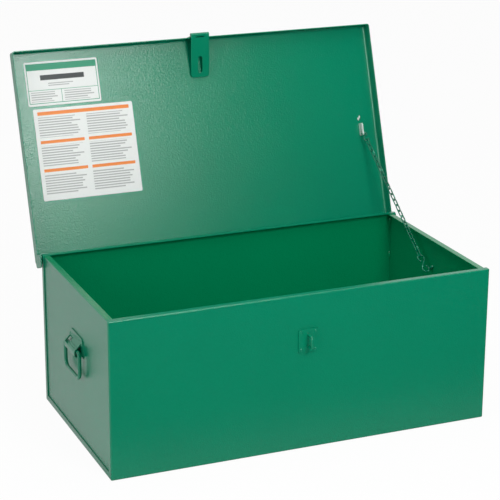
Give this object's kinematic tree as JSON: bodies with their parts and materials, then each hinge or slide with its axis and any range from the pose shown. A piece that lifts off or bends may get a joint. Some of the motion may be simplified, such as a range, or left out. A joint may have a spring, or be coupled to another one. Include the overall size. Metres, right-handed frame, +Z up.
{
  "type": "steel tool chest",
  "caption": "Rectangular sheet steel tool chest with a hinged lid held open by a chain, a hasp and staple for a padlock, and a drop handle at each end.",
  "frame": {"origin": "centre of the chest's bottom face", "axes": "+Z up, +X along the chest to the right seen from its front, +Y to the back where the lid is hinged"},
  "size_m": [0.7894, 0.5929, 0.6859],
  "materials": {
    "enamel": "semi-gloss baked enamel, green",
    "pin": "bare steel wire",
    "tab": "thin light coat of enamel on steel",
    "card_green": "printed film, white with a green frame",
    "card_orange": "printed film, white with orange bars"
  },
  "bodies": {
    "box": {"body_wrap": "enamel", "end_panel_left": "enamel", "end_panel_right": "enamel", "corner_welds": "enamel", "hinge_body_leaf": "enamel", "hinge_pin": "pin", "staple_plate": "enamel", "staple_loop": "enamel", "staple_rivets": "enamel", "handle_left_mount": "enamel", "handle_right_mount": "enamel", "handle_left_rivets": "enamel", "handle_right_rivets": "enamel", "chain_wall_eye": "enamel"},
    "lid": {"lid_pan": "enamel", "hinge_lid_leaf": "enamel", "hasp_leaf": "enamel", "hasp_pin": "pin", "label_upper": "card_green", "label_lower": "card_orange", "chain_lid_tab": "tab"},
    "hasp": {"hasp_plate": "enamel"},
    "handle_left": {"handle_left_bail": "enamel"},
    "handle_right": {"handle_right_bail": "enamel"},
    "chain_1": {"chain_top_hook": "enamel", "chain_links_1": "enamel", "chain_links_2": "enamel"},
    "chain_2": {"chain_links_3": "enamel"},
    "chain_3": {"chain_links_4": "enamel"},
    "chain_4": {"chain_links_5": "enamel"},
    "chain_5": {"chain_s_hook": "enamel"}
  },
  "joints": [
    {"name": "lid_hinge", "type": "hinge", "parent": "box", "child": "lid", "pos_m": [0, 0.208, 0.2821], "axis": [1, 0, 0], "range_deg": [0, 109]},
    {"name": "hasp_swing", "type": "hinge", "parent": "lid", "child": "hasp", "pos_m": [0.003, 0.34037, 0.68189], "axis": [1, 0, 0], "range_deg": [-120.5, 0]},
    {"name": "handle_left_swing", "type": "hinge", "parent": "box", "child": "handle_left", "pos_m": [-0.3881, -0.012, 0.1914], "axis": [0, 1, 0], "range_deg": [-5, 170]},
    {"name": "handle_right_swing", "type": "hinge", "parent": "box", "child": "handle_right", "pos_m": [0.3881, -0.012, 0.1914], "axis": [0, -1, 0], "range_deg": [-5, 170]},
    {"name": "chain_1_turn", "type": "hinge", "parent": "lid", "child": "chain_1", "pos_m": [0.349, 0.28252, 0.4595], "axis": [1, 0, 0], "range_deg": [0, 32.5]},
    {"name": "chain_2_turn", "type": "hinge", "parent": "chain_1", "child": "chain_2", "pos_m": [0.35395, 0.178, 0.37441], "axis": [1, 0, 0], "range_deg": [-72, 0]},
    {"name": "chain_3_turn", "type": "hinge", "parent": "chain_2", "child": "chain_3", "pos_m": [0.35603, 0.13411, 0.33867], "axis": [1, 0, 0], "range_deg": [-74.5, 0]},
    {"name": "chain_4_turn", "type": "hinge", "parent": "chain_3", "child": "chain_4", "pos_m": [0.35811, 0.09022, 0.30294], "axis": [1, 0, 0], "range_deg": [-39, 0]},
    {"name": "chain_5_turn", "type": "hinge", "parent": "chain_4", "child": "chain_5", "pos_m": [0.36058, 0.03807, 0.26048], "axis": [1, 0, 0], "range_deg": [-52, 0]}
  ],
  "couplings": [
    {"joint": "hasp_swing", "follows": "lid_hinge", "ratio": -1.1},
    {"joint": "chain_1_turn", "follows": "lid_hinge", "ratio": 0.293},
    {"joint": "chain_2_turn", "follows": "lid_hinge", "ratio": -0.658},
    {"joint": "chain_3_turn", "follows": "lid_hinge", "ratio": -0.68},
    {"joint": "chain_4_turn", "follows": "lid_hinge", "ratio": -0.355},
    {"joint": "chain_5_turn", "follows": "lid_hinge", "ratio": -0.473}
  ]
}
